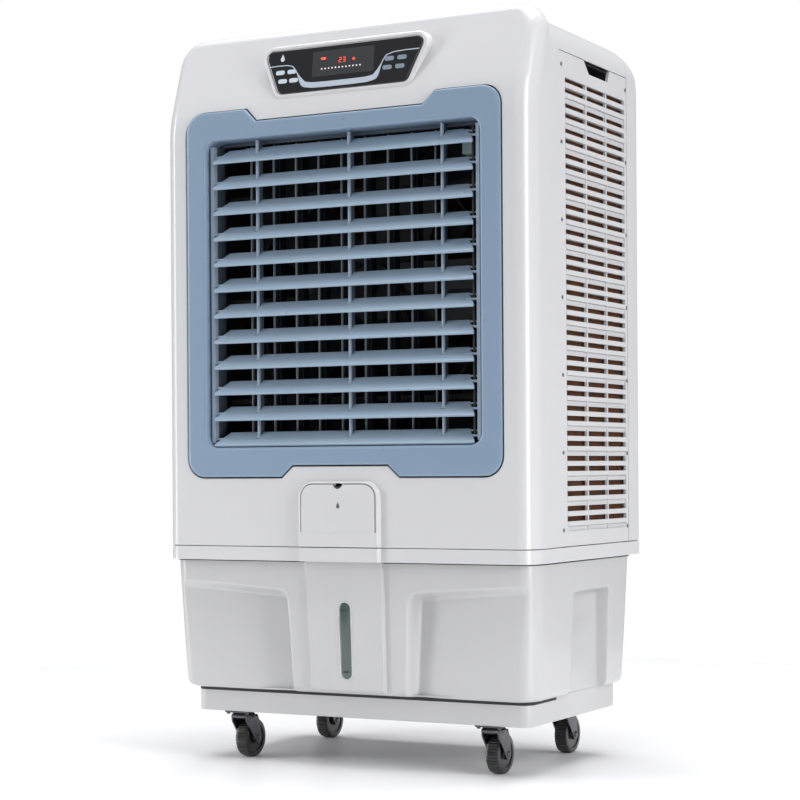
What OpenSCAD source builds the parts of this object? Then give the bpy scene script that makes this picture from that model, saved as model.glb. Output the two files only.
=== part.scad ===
// Upright evaporative air cooler on swivel casters.
// Front faces -Y, X is to the right seen from the front, Z is up, floor at Z = 0.

/* [Cabinet] */
// Cabinet width across the side walls, mm
cab_w = 650; // [500:1:800]
// Total height from the floor, mm
cab_h = 1165; // [1100:1:1250]
// Height of the flat top behind the front mask, mm
top_z = 1156; // [1100:1:1250]
// Rear edge of the front mask that wraps round the sides and the top, mm
mask_y = -138; // [-150:1:-120]
// Front plane of the cabinet, distance from the origin, mm
front_y = 213.5; // [180:0.5:260]
// Rear plane of the cabinet, distance from the origin, mm
rear_y = 221.5; // [180:0.5:260]
// How far the centre strip stands in front of the cabinet, mm
strip_out = 8; // [2:0.5:12]
// Wall thickness of the moulded shells, mm
wall = 3; // [2:0.5:4]
// Height where the cabinet stands on the deck frame, mm
seam_z = 347; // [330:1:360]
// Height of the lower edge of the deck frame, mm
band_z = 324.5; // [310:0.5:330]
// Lean of the header above the outlet, degrees
header_lean = 19; // [5:1:25]

/* [Water tank] */
// Height of the tank floor, mm
tank_z = 117; // [110:1:140]
// Height of the plinth underside, mm
plinth_z = 78; // [70:1:90]
// Half width of the plinth, mm
plinth_hw = 298; // [270:1:305]

/* [Air outlet] */
// Number of horizontal blades
blades = 12; // [12:1:12]
// Distance from one horizontal blade to the next, mm
blade_pitch = 40.86; // [38:0.01:42]
// Height of the front edge of the lowest blade, mm
blade_z0 = 505.5; // [500:0.5:510]
// Blade chord, mm
blade_chord = 31.5; // [28:0.5:33]
// Blade tilt at rest, degrees
blade_tilt = 43; // [30:1:45]
// Blade thickness, mm
blade_t = 2.4; // [1.5:0.1:3]
// Distance from one vertical vane to the next, mm
vane_pitch = 41.25; // [38:0.05:44]
// X position of the first vertical vane, mm
vane_x0 = -179; // [-190:1:-160]
// Vertical vane depth, mm
vane_d = 37; // [30:1:40]

/* [Side grilles] */
// Pairs of slots from top to bottom
slot_pairs = 18; // [10:1:18]
// Distance from one pair of slots to the next, mm
slot_pitch = 38.43; // [36:0.01:40]
// Height of one slot, mm
slot_h = 8; // [5:0.5:10]

/* [Fan] */
// Fan rotor radius, mm
fan_r = 198; // [150:1:200]
// Height of the fan axis, mm
fan_z = 746; // [700:1:800]
// Number of fan blades
fan_blades = 5; // [3:1:7]
// Motor shaft radius, mm
shaft_r = 6; // [4:0.5:8]

/* [Casters] */
// Caster wheel radius, mm
wheel_r = 31; // [25:0.5:32]
// Caster trail, mm
trail = 21; // [15:1:24]
// Swivel axis distance from the centre plane, mm
caster_x = 225; // [180:1:230]
// Running clearance of pins in their holes, mm
run_gap = 0.05; // [0.02:0.01:0.1]

/* [Hidden] */
hw = cab_w / 2;
H = cab_h;
yf = -front_y;
yr = rear_y;
ys = yf - strip_out;
split_y = 167;
big = 900;
// bezel outline
bx = 277.5; bz0 = 455.8; bz1 = 1035.7;
ox = 242.5; oz0 = 502.8; oz1 = 989.6;
rib_x = [-156, 10.5, 172];
rail_x = 232.5;
pivot_y = yf + 13.5;
vane_y = yf + 53.5;
caster_y = [-139, 119];
lean_s = sin(header_lean); lean_c = cos(header_lean);
bend_r = 180; bend_z = 992; edge_r = 20;
bend_y = yf + bend_r;
run_y = bend_y - bend_r * lean_c;
run_z = bend_z + bend_r * lean_s;
run_t = (H - edge_r + edge_r * lean_s - run_z) / lean_c;
top_y = run_y + run_t * lean_s + edge_r * lean_c;
$fn = 48;

// ---------- helpers ----------
function arc(cx, cy, rx, ry, a0, a1, n) =
  [for (i = [0:n]) let (a = a0 + (a1 - a0) * i / n) [cx + rx * cos(a), cy + ry * sin(a)]];

function rrect(x0, y0, x1, y1, r, n) = concat(
  arc(x1 - r, y0 + r, r, r, -90, 0, n), arc(x1 - r, y1 - r, r, r, 0, 90, n),
  arc(x0 + r, y1 - r, r, r, 90, 180, n), arc(x0 + r, y0 + r, r, r, 180, 270, n));

// plan outline of the cabinet, inset by o
function plan(o) = concat(
  arc(hw - 26, yf + 38, 26 - o, 38 - o, -90, 0, 8), arc(hw - 14, yr - 14, 14 - o, 14 - o, 0, 90, 5),
  arc(-hw + 14, yr - 14, 14 - o, 14 - o, 90, 180, 5), arc(-hw + 26, yf + 38, 26 - o, 38 - o, 180, 270, 8));
// front outline of half width w, height h and top corner radius r
function elev(w, h, r, o, z0) = concat([[w - o, z0]], arc(w - r, h - r, r - o, r - o, 0, 90, 8),
  arc(-w + r, h - r, r - o, r - o, 90, 180, 8), [[-w + o, z0]]);
// side outline of the front mask
function mask_side(o, z0) = concat([[mask_y - o, z0]], arc(mask_y - 7, H - 7, 7 - o, 7 - o, 0, 90, 3),
  arc(top_y, H - edge_r, edge_r - o, edge_r - o, 90, 180 - header_lean, 4),
  arc(bend_y, bend_z, bend_r - o, bend_r - o, 180 - header_lean, 180, 5), [[yf + o, z0]]);
// side outline of the body behind it, which runs into the mask
function body_side(o, z0) = concat([[yr - o, z0]], arc(yr - 80, top_z - 80, 80 - o, 80 - o, 0, 90, 8),
  [[mask_y - 4 - 2.7 * o, top_z - o], [mask_y - 4 - 2.7 * o, z0]]);

module along_y(y0, y1) translate([0, y1, 0]) rotate([90, 0, 0]) linear_extrude(y1 - y0) children();
module along_x(x0, x1) translate([x0, 0, 0]) rotate([90, 0, 90]) linear_extrude(x1 - x0) children();
module along_z(z0, z1) translate([0, 0, z0]) linear_extrude(z1 - z0) children();
module box(a, b) translate(a) cube([b[0] - a[0], b[1] - a[1], b[2] - a[2]]);
module rod_x(x0, x1, y, z, r) translate([x0, y, z]) rotate([0, 90, 0]) cylinder(r = r, h = x1 - x0);
module rod_y(y0, y1, x, z, r) translate([x, y1, z]) rotate([90, 0, 0]) cylinder(r = r, h = y1 - y0);
module rod_z(z0, z1, x, y, r) translate([x, y, z0]) cylinder(r = r, h = z1 - z0);

module cabinet(o, z0) union() {
  intersection() {
    along_z(z0, H + 1) polygon(plan(o));
    along_y(-300, 300) polygon(elev(hw, H, 45, o, z0));
    along_x(-400, 400) polygon(mask_side(o, z0));
  }
  intersection() {
    along_z(z0, H + 1) polygon(plan(o));
    along_y(-300, 300) polygon(elev(hw - 0.8, top_z, 58, o, z0));
    along_x(-400, 400) polygon(body_side(o, z0));
  }
}

function bezel_out(o) = concat(
  arc(bx - 30, bz0 + 30, 30 - o, 30 - o, -90, 0, 6), arc(bx - 30, bz1 - 30, 30 - o, 30 - o, 0, 90, 6),
  [[168 + 0.41 * o, bz1 - o], [148 + 0.41 * o, bz1 - 20 - o], [-148 - 0.41 * o, bz1 - 20 - o],
   [-168 - 0.41 * o, bz1 - o]],
  arc(-bx + 30, bz1 - 30, 30 - o, 30 - o, 90, 180, 6), arc(-bx + 30, bz0 + 30, 30 - o, 30 - o, 180, 270, 6),
  [[-105 - 0.39 * o, bz0 + o], [-85 - 0.39 * o, bz0 + 18.2 + o], [85 + 0.39 * o, bz0 + 18.2 + o],
   [105 + 0.39 * o, bz0 + o]]);
function outlet(o) = rrect(-ox - o, oz0 - o, ox + o, oz1 + o, 18 + o, 5);

// ---------- water tank ----------
// front, side and plan outlines of the tapered tank, inset by o
function tank_elev(o) = concat([[321.5 - o, 341 + o]],
  [[-321.5 + o, 341 + o], [-314.5 + o, tank_z + 12]], arc(-302.5, tank_z + 12, 12 - o, 12 - o, 180, 270, 4),
  arc(302.5, tank_z + 12, 12 - o, 12 - o, 270, 360, 4));
function tank_side(o) = concat([[190 - o, 341 + o], [-200 + o, 341 + o]],
  arc(-176.4, tank_z + 12, 12 - o, 12 - o, 180, 270, 4),
  arc(165, tank_z + 12, 12 - o, 12 - o, 270, 360, 4));
function tank_plan(o) = concat(
  arc(295.5, -162, 26 - o, 38 - o, -90, 0, 8), arc(295.5, 164, 26 - o, 26 - o, 0, 90, 6),
  arc(-295.5, 164, 26 - o, 26 - o, 90, 180, 6), arc(-295.5, -162, 26 - o, 38 - o, 180, 270, 8));

module tank_body(o) intersection() {
  along_z(tank_z, 341 + o) polygon(tank_plan(o));
  along_y(-300, 300) polygon(tank_elev(o));
  along_x(-400, 400) polygon(tank_side(o));
}
module tank_strip(o) intersection() {
  along_x(-70, 70) polygon([[-206 + o, 341], [-150, 341], [-150, tank_z + 4], [-189, tank_z + 4],
    [-193 + o, tank_z + 10]]);
  along_y(-300, 0) polygon([[-64 + o, tank_z], [64 - o, tank_z], [67 - o, 341 + o], [-67 + o, 341 + o]]);
}
// wedge shaped recess beside the strip, grown by g into the tank
module front_recess(g) intersection() {
  along_y(-300, 0) polygon([[103 - g, 90], [112.5 - g, 279 + g], [300, 293 + g], [300, 90]]);
  along_z(90, 300) polygon([[90, -230], [300, -230], [300, -192 + g], [100 - g, -166 + g], [90, -166 + g]]);
}
module side_recess(g) intersection() {
  along_x(200, 400) polygon([[-60 - g, 90], [-50 - g, 276 + g], [91 + g, 276 + g], [91 + g, 90]]);
  along_z(90, 300) polygon([[340, -60], [318, -60 - g], [plinth_hw + 9 - g, -36 - g], [plinth_hw - g, -10],
    [plinth_hw - g, 91 + g], [340, 91 + g]]);
}
module recesses(g) for (s = [0, 1]) mirror([s, 0, 0]) { front_recess(g); side_recess(g); }

module window_shape(g) polygon(concat(arc(0, 251, 10 + g, 10 + g, 0, 180, 10),
  arc(0, 151, 10 + g, 10 + g, 180, 360, 10)));

module tank() color([0.80, 0.80, 0.82]) difference() {
  union() {
    difference() {
      union() { tank_body(0); tank_strip(0); }
      recesses(0);
    }
    rod_y(174, 194, 150, 145, 17);
  }
  difference() {
    union() { tank_body(wall); tank_strip(wall); }
    recesses(wall);
    rod_y(170, 194, 150, 145, 17);
    box([-big, -big, 0], [big, big, tank_z + wall]);
  }
  rod_y(160, 200, 150, 145, 9 + run_gap);
  rod_y(150, 200, -200, 290, 10);
  translate([0, -199.5, 0]) rotate([3.3, 0, 0]) along_y(-5, 30) translate([0, 1]) window_shape(0.05);
}

module base_plinth() color([0.78, 0.78, 0.80]) {
  difference() {
    along_z(plinth_z, tank_z) polygon(rrect(-plinth_hw, -166, plinth_hw, 174, 18, 6));
    along_z(plinth_z + 4, tank_z + 1) polygon(rrect(-plinth_hw + wall, -163, plinth_hw - wall, 171, 15, 6));
  }
  for (x = [-caster_x, caster_x], y = caster_y) along_z(plinth_z + 4, tank_z) translate([x, y])
    polygon(rrect(-26, -26, 26, 26, 4, 3));
}

// ---------- deck and casings ----------
module deck_frame() color([0.83, 0.82, 0.85]) difference() {
  union() {
    difference() {
      union() { along_z(band_z, seam_z) polygon(plan(0)); strip_block(band_z, seam_z); }
      along_z(band_z - 1, 341) polygon(plan(wall));
      along_z(344, seam_z + 1) polygon(plan(wall));
    }
    difference() {
      along_z(343, 353) polygon(plan(wall + 1.3));
      along_z(344, 354) polygon(plan(wall + 4));
      box([300, -103.5, 344], [330, 190, 360]); box([-330, -103.5, 344], [-300, 190, 360]);
    }
  }
  box([-200, -130, 300], [200, 130, 400]);
  box([-56, -209, 300], [56, -171, 400]);
  rod_z(300, 400, 250, 150, 11);
}

// raised centre strip in front of the cabinet, with sloping flanks
module strip_block(z0, z1) along_z(z0, z1) polygon([[-72, yf + 0.5], [-72, yf], [-69, ys], [69, ys], [72, yf],
  [72, yf + 0.5]]);

module flap_shape(g) polygon(concat([[65.3 + g, 371.5 - g], [65.3 + g, 424]],
  arc(45.3, 424, 20 + g, 20 + g, 0, 90, 6),
  arc(-45.3, 424, 20 + g, 20 + g, 90, 180, 6), [[-65.3 - g, 371.5 - g]]));

module shell() difference() {
  union() {
    difference() { cabinet(0, seam_z); cabinet(wall, seam_z - 1); }
    intersection() {
      strip_block(seam_z, 449);
      along_y(-300, 0) polygon(concat([[72, seam_z]], arc(47, 424, 25, 25, 0, 90, 5),
        arc(-47, 424, 25, 25, 90, 180, 5), [[-72, seam_z]]));
    }
  }
  // bezel, filler opening with its rebate, side panel openings
  along_y(-300, -150) polygon(bezel_out(-1.5));
  along_y(-300, -150) polygon(rrect(-56, 377, 56, 438, 8, 3));
  along_y(-300, -217.6) flap_shape(0.6);
  box([-66, -300, 367.4], [66, -213.9, 376]);
  for (s = [0, 1]) mirror([s, 0, 0]) box([300, -103.5, seam_z - 5], [340, 230, 1100.5]);
}

module main_casing() color([0.85, 0.84, 0.87]) union() {
  intersection() { shell(); box([-big, -big, 0], [big, split_y, 2000]); }
  // stubs the filler flap turns on
  for (s = [-1, 1]) rod_x(s * 63 - 3.4, s * 63 + 3.4, -218, 371.5, 1.5);
}

module rear_casing() color([0.83, 0.82, 0.85]) difference() {
  intersection() {
    difference() { cabinet(0, seam_z); cabinet(wall, seam_z - 1); }
    box([-big, split_y + 0.3, 0], [big, 400, 2000]);
  }
  along_y(150, 300) polygon(rrect(-245, 380, 245, 1090, 10, 3));
  rod_y(200, 230, -270, 400, 8);
}

module rear_grille() color([0.81, 0.81, 0.83]) difference() {
  along_y(yr - 3.2, yr - 0.4) polygon(rrect(-244.5, 380.5, 244.5, 1089.5, 9.5, 3));
  for (k = [0:slot_pairs - 2], d = [0, 15.5], c = [0:4])
    translate([-232 + c * 94, 0, 400 + k * slot_pitch + d]) box([0, 200, 0], [88, 230, slot_h]);
}

// ---------- side grilles ----------
slot_y = [[-80, 0], [5, 81], [85, 159]];
module side_panel() {
  difference() {
    union() {
      box([320.4, -103, seam_z + 0.2], [323.2, split_y, 1100]);
      for (k = [0:slot_pairs - 1], d = [8, 23.5])
        along_z(1062 - k * slot_pitch - d - 3.2, 1062 - k * slot_pitch - d - 0.4)
          polygon([[323, -84], [324.8, -80.5], [324.8, 157.5], [323, 159.6]]);
      // back of the hand grip
      difference() { box([288, 6, 1074], [321, 98, 1099]); box([291, 9, 1077], [330, 95, 1110]); }
    }
    for (k = [0:slot_pairs - 1], d = [0, 15.5], c = slot_y)
      box([300, c[0], 1062 - k * slot_pitch - d - slot_h], [330, c[1], 1062 - k * slot_pitch - d]);
    along_x(310, 340) polygon([[-8, 1101], [14, 1081], [90, 1081], [98, 1101]]);
  }
}
module side_grille_right() color([0.84, 0.83, 0.86]) side_panel();
module side_grille_left() color([0.84, 0.83, 0.86]) mirror([1, 0, 0]) side_panel();

module panel_screws() color([0.45, 0.45, 0.47]) for (s = [-1, 1], y = [-95, 163], k = [0:6])
  rod_x(s * 323.95 - 0.75, s * 323.95 + 0.75, y, 372 + k * 118, 3);

// ---------- outlet ----------
module grille_bezel() color([0.52, 0.60, 0.71]) difference() {
  union() {
    along_y(yf - 2.5, yf) polygon(bezel_out(5));
    along_y(yf - 0.01, yf + 12) polygon(bezel_out(0));
    along_y(yf + 10.5, yf + 12) polygon(bezel_out(-5));
    along_y(yf + 11, yf + 33) polygon(outlet(3));
  }
  along_y(yf - 4, yf + 40) polygon(outlet(0));
  along_y(yf - 4, yf) polygon(outlet(4));
}

module rib_frame() color([0.50, 0.58, 0.69]) difference() {
  union() {
    for (s = [-1, 1]) {
      box([s * 235.5 - 3, pivot_y - 5, 510], [s * 235.5 + 3, yf + 43, 982.5]);
      box([s * 235.5 - 3, yf + 34, 500], [s * 235.5 + 3, yf + 43, 992]);
    }
    box([-238.5, yf + 34, 984], [238.5, yf + 43, 1000]);
    box([-238.5, yf + 34, 492], [238.5, yf + 43, 508]);
    for (x = rib_x) {
      box([x - 2, yf + 14.5, 504], [x + 2, yf + 30, 988.5]);
      box([x - 2, yf + 14.5, 986], [x + 2, yf + 40, 988.5]);
      box([x - 2, yf + 14.5, 504], [x + 2, yf + 40, 506.5]);
    }
  }
  for (k = [0:blades - 1], s = [-1, 1])
    rod_x(s * 235.5 - 4, s * 235.5 + 4, pivot_y, blade_pz(k), 2 + run_gap);
}

function blade_pz(k) = blade_z0 + k * blade_pitch + blade_chord / 2 * sin(blade_tilt);
link_e = 12;
half_c = blade_chord / 2;
module blade(k) color([0.55, 0.63, 0.74]) translate([0, pivot_y, blade_pz(k)]) {
  rotate([blade_tilt, 0, 0]) difference() {
    union() {
      along_z(-blade_t / 2, blade_t / 2) polygon([[-230, -half_c], [230, -half_c], [230, -half_c + 2],
        [213, half_c - 1], [213, half_c], [-213, half_c], [-213, half_c - 1], [-230, -half_c + 2]]);
      rod_x(-222, 222, 0, 0, 2);
      box([-229, -half_c, -2.6], [229, -half_c + 3, 0]);
    }
    for (x = rib_x) box([x - 3, -1, -8], [x + 3, 40, 8]);
  }
  rod_x(-238, -221, 0, 0, 2);
  rod_x(221, 238, 0, 0, 2);
  // pin that the link bar takes hold of
  rotate([blade_tilt, 0, 0]) rod_x(211, 226.5, link_e, 0, 1.5);
}
module blade_link() color([0.08, 0.08, 0.09]) difference() {
  box([222, pivot_y + 3, blade_pz(0) + 2], [225, pivot_y + 16, blade_pz(blades - 1) + 14]);
  for (k = [0:blades - 1]) let (z = blade_pz(k) + link_e * sin(blade_tilt))
    box([221, pivot_y + 5.5, z - 2], [226, pivot_y + 14, z + 2.6]);
}

module vane(i) color([0.30, 0.34, 0.40]) let (x = vane_x0 + i * vane_pitch) {
  box([x - 1, vane_y - 18.5, 510], [x + 1, vane_y + vane_d - 18.5, 974]);
  box([x - 1, vane_y - 7, 973], [x + 1, vane_y + vane_d - 18.5, 982]);
  rod_z(488, 1004, x, vane_y, 2.5);
  rod_z(970, 982, x, vane_y - 15, 1.5);
}
module vane_tie_bar() color([0.45, 0.52, 0.60]) difference() {
  box([vane_x0 - 8, vane_y - 20.5, 976.5], [200, vane_y - 9.5, 979.5]);
  for (i = [0:8]) let (x = vane_x0 + i * vane_pitch)
    box([x - 1.9, vane_y - 17.5, 970], [x + 1.9, vane_y - 11.5, 990]);
}
module vane_carrier() color([0.06, 0.06, 0.07]) difference() {
  union() {
    difference() {
      along_y(yf + 44, -60) polygon(rrect(-254, 486, 254, 1006, 6, 2));
      along_y(yf + 43, -59) polygon(rrect(-251.5, 488.5, 251.5, 1003.5, 4, 2));
    }
    box([-252, vane_y - 8, 994], [252, vane_y + 8, 998]);
    box([-252, vane_y - 8, 494], [252, vane_y + 8, 498]);
    for (z = [577.5, 739, 905]) box([-252, vane_y + 24, z - 4], [252, vane_y + 30, z + 4]);
    for (s = [-1, 1]) box([s * 249 - 3, vane_y - 8, 488], [s * 249 + 3, vane_y + 30, 1004]);
  }
  for (i = [0:8]) rod_z(470, 1020, vane_x0 + i * vane_pitch, vane_y, 2.5 + run_gap);
}
module swing_motor() color([0.62, 0.68, 0.72]) {
  box([196, vane_y - 16, 942], [222, vane_y + 8, 970]);
  rod_z(969, 974, 206, vane_y - 6, 6);
  box([216, vane_y - 4, 950], [246, vane_y + 4, 954]);
}

// ---------- fan ----------
module fan_shroud() color([0.10, 0.10, 0.11]) difference() {
  union() {
    along_y(-60, -57) polygon(rrect(-262, 440, 262, 1050, 12, 3));
    rod_y(-112, -57, 0, fan_z, fan_r + 10);
  }
  rod_y(-130, -50, 0, fan_z, fan_r + 7);
}
module motor_bracket() color([0.25, 0.25, 0.27]) difference() {
  union() {
    for (a = [45, 135]) translate([0, -4, fan_z]) rotate([0, a, 0]) box([-232, -4, -11], [232, 0, 11]);
    rod_y(-9.5, -4, 0, fan_z, 64);
    for (sx = [-1, 1], sz = [-1, 1]) rod_y(-57, -6, sx * 156, fan_z + sz * 156, 7);
  }
  rod_y(-20, 20, 0, fan_z, 30);
}
module fan_motor() color([0.35, 0.36, 0.38]) {
  rod_y(-4, 78, 0, fan_z, 56);
  rod_y(-34, -3, 0, fan_z, 29.5);
  rod_y(-112, -30, 0, fan_z, shaft_r);
  rod_y(77, 84, 0, fan_z, 20);
}
module fan_rotor() color([0.14, 0.14, 0.16]) difference() {
  union() {
    rod_y(-106, -50, 0, fan_z, 46);
    intersection() {
      for (i = [0:fan_blades - 1]) translate([0, -78, fan_z]) rotate([0, i * 360 / fan_blades, 0])
        translate([40, 0, 0]) rotate([26, 0, 0]) box([0, -1.6, -52], [170, 1.6, 52]);
      rod_y(-130, -30, 0, fan_z, fan_r);
    }
  }
  rod_y(-120, -40, 0, fan_z, shaft_r + run_gap);
}

module cooling_pads() color([0.42, 0.24, 0.12]) {
  for (s = [-1, 1]) box([s * 301 - 15, -97, 344], [s * 301 + 15, 160, 1070]);
  box([-242, 184, 344], [242, 214, 1092]);
}

// ---------- controls ----------
function pod_shape(o) = concat(arc(-104, 1067, 14 - o, 14 - o, 203, 270, 4),
  arc(109, 1067, 14 - o, 14 - o, 270, 337, 4), arc(130, 1113.5, 14 - o, 14 - o, -23, 90, 5),
  arc(-123, 1113.5, 14 - o, 14 - o, 90, 203, 5));
module pod_slab(y0, y1) translate([0, -204, 1062]) rotate([-7, 0, 0]) box([-200, y0, -60], [200, y1, 160]);
module control_pod() color([0.86, 0.86, 0.88]) difference() {
  intersection() {
    along_y(-260, -150) polygon(pod_shape(-7));
    pod_slab(0, 60);
  }
  cabinet(-0.05, 900);
  along_y(-260, -150) polygon(pod_shape(2));
}
module control_glass() color([0.03, 0.03, 0.04]) difference() {
  intersection() {
    along_y(-260, -150) polygon(pod_shape(2.1));
    pod_slab(-0.6, 4);
  }
  cabinet(-0.05, 900);
}

module filler_chute() color([0.75, 0.75, 0.77]) difference() {
  box([-55, -208, 341], [55, -172, 441]);
  box([-52, -205, 330], [52, -175, 438.5]);
  box([-52, -230, 379], [52, -190, 436]);
}
module filler_flap() color([0.86, 0.85, 0.88]) difference() {
  union() {
    along_y(ys, ys + 3.2) flap_shape(0);
    rod_x(-59, 59, -218, 371.5, 3.4);
    rod_x(-65, 65, -218, 371.5, 3.4);
  }
  rod_x(-70, -58, -218, 371.5, 1.5 + run_gap);
  rod_x(58, 70, -218, 371.5, 1.5 + run_gap);
  along_y(-230, -200) polygon(arc(0, 446, 9, 9, 180, 360, 8));
}
module level_window() color([0.20, 0.28, 0.27]) translate([0, -199.5, 0]) rotate([3.3, 0, 0])
  along_y(-0.5, 15) translate([0, 1]) window_shape(0);

// ---------- water parts ----------
module water_pump() color([0.12, 0.13, 0.15]) {
  box([216, 106, tank_z + wall], [284, 164, 172]);
  rod_z(171, 184, 250, 150, 12);
  for (i = [0:4]) box([214, 114 + i * 11, 126], [217, 119 + i * 11, 160]);
}
module water_pipes() color([0.62, 0.64, 0.66]) {
  rod_z(184, 1112, 250, 150, 8);
  rod_y(-95, 150, 250, 1112, 8);
  rod_x(-250, 250, 150, 1112, 8);
  rod_y(-95, 150, -250, 1112, 8);
  for (p = [[-250, -95], [250, -95], [-250, 150], [250, 150]]) translate([p[0], p[1], 1112]) sphere(r = 8);
}
module float_valve() color([0.90, 0.90, 0.92]) {
  rod_y(150, 214, -200, 290, 9.5);
  rod_y(188.2, 196, -200, 290, 15);
  rod_y(177, 182, -200, 290, 15);
  rod_y(70, 152, -200, 290, 3);
  translate([-200, 60, 288]) sphere(r = 22);
}
module drain_plug() color([0.15, 0.15, 0.16]) {
  rod_y(172, 195, 150, 145, 9);
  rod_y(194.2, 206, 150, 145, 15);
  box([148, 205, 133], [152, 210, 157]);
}
module cable_gland() color([0.06, 0.06, 0.06]) {
  rod_y(206, 221.4, -270, 400, 7.9);
  rod_y(208, 214, -270, 400, 12);
}

// ---------- casters ----------
module caster_plates() color([0.55, 0.55, 0.57]) for (x = [-caster_x, caster_x], y = caster_y) {
  along_z(75, plinth_z) translate([x, y]) polygon(rrect(-23, -23, 23, 23, 4, 3));
  rod_z(70, 75.5, x, y, 16);
  rod_z(62, 71, x, y, 4);
  rod_z(62, 65.8, x, y, 7);
}
module fork(x, y) color([0.16, 0.16, 0.18]) translate([x, y, 0]) difference() {
  union() {
    box([-15, -14, 66], [15, 16, 69.9]);
    for (s = [-1, 1]) along_x(s * 13.6 - 1.4, s * 13.6 + 1.4)
      polygon(concat([[-14, 69.9], [-14, 60]], arc(trail, wheel_r, 9, 9, 200, 380, 8),
        [[24, 60], [16, 69.9]]));
    rod_x(-17, 17, trail, wheel_r, 3.5);
  }
  rod_z(50, 80, 0, 0, 4 + run_gap);
}
module wheel(x, y) color([0.05, 0.05, 0.06]) translate([x, y + trail, wheel_r]) difference() {
  union() {
    rod_x(-8.5, 8.5, 0, 0, wheel_r);
    translate([8.5, 0, 0]) rotate([0, 90, 0]) cylinder(r1 = wheel_r, r2 = wheel_r - 3, h = 2.3);
    translate([-8.5, 0, 0]) rotate([0, -90, 0]) cylinder(r1 = wheel_r, r2 = wheel_r - 3, h = 2.3);
    rod_x(-11.9, 11.9, 0, 0, 9);
  }
  rod_x(-20, 20, 0, 0, 3.5 + run_gap);
  for (s = [-1, 1]) difference() {
    rod_x(s * 10.9 - 2, s * 10.9 + 2, 0, 0, 22);
    rod_x(s * 10.9 - 5, s * 10.9 + 5, 0, 0, 9);
  }
}
module fork_fl() fork(-caster_x, caster_y[0]);
module fork_fr() fork(caster_x, caster_y[0]);
module fork_rl() fork(-caster_x, caster_y[1]);
module fork_rr() fork(caster_x, caster_y[1]);
module wheel_fl() wheel(-caster_x, caster_y[0]);
module wheel_fr() wheel(caster_x, caster_y[0]);
module wheel_rl() wheel(-caster_x, caster_y[1]);
module wheel_rr() wheel(caster_x, caster_y[1]);

module blade_01() blade(0);
module blade_02() blade(1);
module blade_03() blade(2);
module blade_04() blade(3);
module blade_05() blade(4);
module blade_06() blade(5);
module blade_07() blade(6);
module blade_08() blade(7);
module blade_09() blade(8);
module blade_10() blade(9);
module blade_11() blade(10);
module blade_12() blade(11);
module vane_1() vane(0);
module vane_2() vane(1);
module vane_3() vane(2);
module vane_4() vane(3);
module vane_5() vane(4);
module vane_6() vane(5);
module vane_7() vane(6);
module vane_8() vane(7);
module vane_9() vane(8);

tank();
base_plinth();
deck_frame();
main_casing();
rear_casing();
grille_bezel();
rib_frame();
vane_carrier();
swing_motor();
fan_shroud();
fan_motor();
motor_bracket();
side_grille_left();
side_grille_right();
rear_grille();
cooling_pads();
control_pod();
control_glass();
filler_chute();
level_window();
water_pump();
water_pipes();
float_valve();
cable_gland();
caster_plates();
panel_screws();
filler_flap();
drain_plug();
fan_rotor();
blade_01();
blade_02();
blade_03();
blade_04();
blade_05();
blade_06();
blade_07();
blade_08();
blade_09();
blade_10();
blade_11();
blade_12();
blade_link();
vane_1();
vane_2();
vane_3();
vane_4();
vane_5();
vane_6();
vane_7();
vane_8();
vane_9();
vane_tie_bar();
fork_fl();
fork_fr();
fork_rl();
fork_rr();
wheel_fl();
wheel_fr();
wheel_rl();
wheel_rr();
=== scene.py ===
import math

import bmesh
import bpy
import numpy as np
from mathutils import Matrix, Vector


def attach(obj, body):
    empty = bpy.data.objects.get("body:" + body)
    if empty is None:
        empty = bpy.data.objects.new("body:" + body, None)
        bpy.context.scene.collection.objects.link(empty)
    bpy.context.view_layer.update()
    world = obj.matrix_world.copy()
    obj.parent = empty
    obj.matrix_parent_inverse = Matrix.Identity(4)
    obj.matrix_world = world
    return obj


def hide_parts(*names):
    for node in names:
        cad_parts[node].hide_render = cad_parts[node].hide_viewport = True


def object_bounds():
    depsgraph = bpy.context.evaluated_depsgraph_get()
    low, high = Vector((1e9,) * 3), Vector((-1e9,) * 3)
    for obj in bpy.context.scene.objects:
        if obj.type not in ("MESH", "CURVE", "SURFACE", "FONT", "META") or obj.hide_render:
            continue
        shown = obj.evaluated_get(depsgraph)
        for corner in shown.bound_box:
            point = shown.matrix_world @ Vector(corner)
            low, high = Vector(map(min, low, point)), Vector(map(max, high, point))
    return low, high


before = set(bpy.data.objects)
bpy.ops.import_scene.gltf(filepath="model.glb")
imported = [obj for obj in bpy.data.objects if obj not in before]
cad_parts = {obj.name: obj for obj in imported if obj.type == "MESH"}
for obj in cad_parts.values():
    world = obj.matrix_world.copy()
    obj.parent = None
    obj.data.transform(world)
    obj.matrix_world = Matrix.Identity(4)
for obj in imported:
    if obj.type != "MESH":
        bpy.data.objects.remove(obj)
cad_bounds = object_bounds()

# ---------------------------------------------------------------- sizes, mm
MM = 0.001
HW, H = 325.0, cad_bounds[1][2] / MM
YF, YR = -213.5, 221.5
YS = YF - 8.0
WALL = 3.0
SEAM_Z, BAND_Z = 347.0, 324.5
TOP_Z, MASK_Y = 1156.0, -138.0
LEAN = math.radians(19)
BEND_R, BEND_Z, EDGE_R = 180.0, 992.0, 20.0
BEND_Y = YF + BEND_R
RUN_Z = BEND_Z + BEND_R * math.sin(LEAN)
RUN_Y = BEND_Y - BEND_R * math.cos(LEAN)
RUN_T = (H - EDGE_R + EDGE_R * math.sin(LEAN) - RUN_Z) / math.cos(LEAN)
TOP_Y = RUN_Y + RUN_T * math.sin(LEAN) + EDGE_R * math.cos(LEAN)
SPLIT_Y = 167.0
BX, BZ0, BZ1 = 277.5, 455.8, 1035.7
OX, OZ0, OZ1 = 242.5, 502.8, 989.6
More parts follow.
